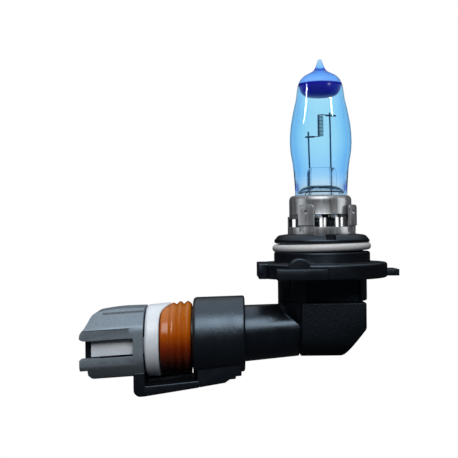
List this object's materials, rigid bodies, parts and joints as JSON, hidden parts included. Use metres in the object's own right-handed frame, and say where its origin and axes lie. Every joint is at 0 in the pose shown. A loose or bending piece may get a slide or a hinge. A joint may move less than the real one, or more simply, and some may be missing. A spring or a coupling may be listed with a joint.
{
  "type": "headlight bulb",
  "caption": "Right-angle halogen headlight bulb: blue quartz burner in a steel holder, flanged base with seal ring, and a sealed plug on a side arm with latch and terminal lock.",
  "frame": {"origin": "where the bulb's axis meets the top of the flange, the face that seats against the headlight reflector", "axes": "+Z along the bulb's axis towards its tip; the plug's arm leaves towards -X, 3.5 degrees below horizontal; -Y is the side with the broad flange lug"},
  "size_m": [0.0725, 0.031, 0.0764],
  "materials": {
    "black_nylon": "satin moulded",
    "matte_nylon": "fine textured",
    "charcoal_nylon": "satin moulded",
    "stainless_steel": "drawn sheet",
    "blue_quartz": "blue coated",
    "clear_quartz": "clear",
    "molybdenum": "drawn wire",
    "nickel": "plated wire",
    "tungsten": "drawn wire",
    "tinned_brass": "tinned strip",
    "pale_silicone": "moulded",
    "amber_silicone": "translucent moulded",
    "white_nylon": "satin moulded",
    "grey_nylon": "satin moulded"
  },
  "bodies": {
    "housing": {"base_housing": "black_nylon", "seal_ring": "pale_silicone", "burner_cup": "stainless_steel", "burner_sleeve": "stainless_steel", "glass_envelope": "blue_quartz", "pinch_seal": "clear_quartz", "support_wire_short": "molybdenum", "support_wire_long": "molybdenum", "sealing_foil_short": "molybdenum", "sealing_foil_long": "molybdenum", "outer_lead_short": "nickel", "outer_lead_long": "nickel", "filament": "tungsten", "arm_tube": "black_nylon", "elbow_cover": "matte_nylon", "connector_body": "charcoal_nylon", "terminal_seal": "amber_silicone", "terminal_upper": "tinned_brass", "terminal_lower": "tinned_brass", "interface_seal": "amber_silicone", "seal_retainer": "white_nylon"},
    "lock": {"terminal_lock": "grey_nylon"},
    "latch": {"latch_arm": "black_nylon"}
  },
  "joints": [
    {"name": "lock_slide", "type": "slide", "parent": "housing", "child": "lock", "axis": [-0.9981, 0, -0.061], "range_m": [0, 0.0015]},
    {"name": "latch_flex", "type": "hinge", "parent": "housing", "child": "latch", "pos_m": [-0.02824, 0, -0.02685], "axis": [0, -1, 0], "range_deg": [0, 6], "stiffness_Nm_per_rad": 0.4}
  ]
}
